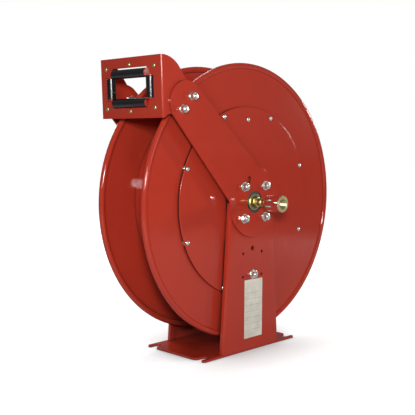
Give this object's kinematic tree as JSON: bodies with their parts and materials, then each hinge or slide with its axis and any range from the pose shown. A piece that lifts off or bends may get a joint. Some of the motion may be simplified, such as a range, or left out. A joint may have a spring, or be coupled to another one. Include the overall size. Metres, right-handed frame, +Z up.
{
  "type": "spring rewind hose reel",
  "caption": "Hose reel without its hose: a rimmed spool on a shaft between two pedestals, two arms holding a four-roller hose guide, a ratchet pawl and a swivel inlet.",
  "frame": {"origin": "on the floor, at the middle of the base plate's underside, below the shaft", "axes": "+Z up, +Y along the spool's shaft away from the inlet, -X towards the hose guide"},
  "size_m": [0.61, 0.2933, 0.6399],
  "materials": {
    "red_paint": "smooth glossy red paint",
    "zinc_steel": "zinc-plated steel",
    "yellow_zinc": "yellow zinc-plated steel",
    "roller_plastic": "glossy black plastic",
    "brass": "bare machined brass",
    "polished_metal": "polished plated body",
    "black_plastic": "black bearing plastic",
    "dark_steel": "blackened steel",
    "spring_steel": "dark spring steel",
    "black_rubber": "black rubber"
  },
  "bodies": {
    "frame": {"base_plate": "red_paint", "pedestal_near": "red_paint", "pedestal_far": "red_paint", "guide_arm_near": "red_paint", "guide_arm_far": "red_paint", "guide_bracket": "red_paint", "roller_bracket_top": "red_paint", "roller_bracket_bottom": "red_paint", "guide_screws": "yellow_zinc", "roller_pins": "zinc_steel", "arm_bolts_near": "zinc_steel", "arm_bolts_far": "zinc_steel", "arm_nuts_near": "zinc_steel", "arm_nuts_far": "zinc_steel", "bearing_plate_near": "zinc_steel", "shaft_bush_near": "black_plastic", "hub_bolts_near": "zinc_steel", "hub_nuts_near": "zinc_steel", "hub_washers_near": "zinc_steel", "arbor_plate_far": "zinc_steel", "arm_spacer_far": "red_paint", "arbor_shaft": "zinc_steel", "hub_bolts_far": "zinc_steel", "hub_nuts_far": "zinc_steel", "hub_washers_far": "zinc_steel", "pawl_bolt": "zinc_steel", "pawl_nut": "zinc_steel"},
    "spool": {"disc_near": "red_paint", "disc_far": "red_paint", "cover_near": "red_paint", "cover_far": "red_paint", "cover_screws_near": "zinc_steel", "cover_screws_far": "zinc_steel", "drum": "red_paint", "inlet_shaft": "yellow_zinc", "hub_screws_near": "zinc_steel", "hub_screws_far": "zinc_steel", "far_hub": "zinc_steel", "shaft_bush_far": "black_plastic", "ratchet_wheel": "dark_steel", "spring_case": "dark_steel", "power_spring": "spring_steel", "riser_elbow": "brass", "riser_pipe": "zinc_steel", "hose_outlet": "brass", "inlet_nipple": "brass", "swivel_seal": "black_rubber"},
    "swivel": {"swivel_body": "polished_metal"},
    "pawl": {"pawl": "dark_steel", "pawl_spring": "spring_steel"},
    "roller_top": {"roller_top": "roller_plastic"},
    "roller_bottom": {"roller_bottom": "roller_plastic"},
    "roller_left": {"roller_left": "roller_plastic"},
    "roller_right": {"roller_right": "roller_plastic"}
  },
  "joints": [
    {"name": "spool_spin", "type": "hinge", "parent": "frame", "child": "spool", "pos_m": [0, 0, 0.335], "axis": [0, 1, 0], "continuous": true, "deforming": ["power_spring"]},
    {"name": "swivel_spin", "type": "hinge", "parent": "spool", "child": "swivel", "pos_m": [0, -0.15, 0.335], "axis": [0, 1, 0], "continuous": true},
    {"name": "roller_top_spin", "type": "hinge", "parent": "frame", "child": "roller_top", "pos_m": [-0.2703, 0.007, 0.60433], "axis": [0, 1, 0], "continuous": true},
    {"name": "roller_bottom_spin", "type": "hinge", "parent": "frame", "child": "roller_bottom", "pos_m": [-0.26783, 0.007, 0.54538], "axis": [0, 1, 0], "continuous": true},
    {"name": "roller_left_spin", "type": "hinge", "parent": "frame", "child": "roller_left", "pos_m": [-0.2691, 0.069, 0.5757], "axis": [-0.0419, 0, 0.9991], "continuous": true},
    {"name": "roller_right_spin", "type": "hinge", "parent": "frame", "child": "roller_right", "pos_m": [-0.2691, -0.055, 0.5757], "axis": [-0.0419, 0, 0.9991], "continuous": true},
    {"name": "pawl_swing", "type": "hinge", "parent": "frame", "child": "pawl", "pos_m": [0, -0.083, 0.173], "axis": [0, 1, 0], "range_deg": [0, 5], "stiffness_Nm_per_rad": 0.15, "springref_deg": -20.05, "deforming": ["pawl_spring"]}
  ]
}
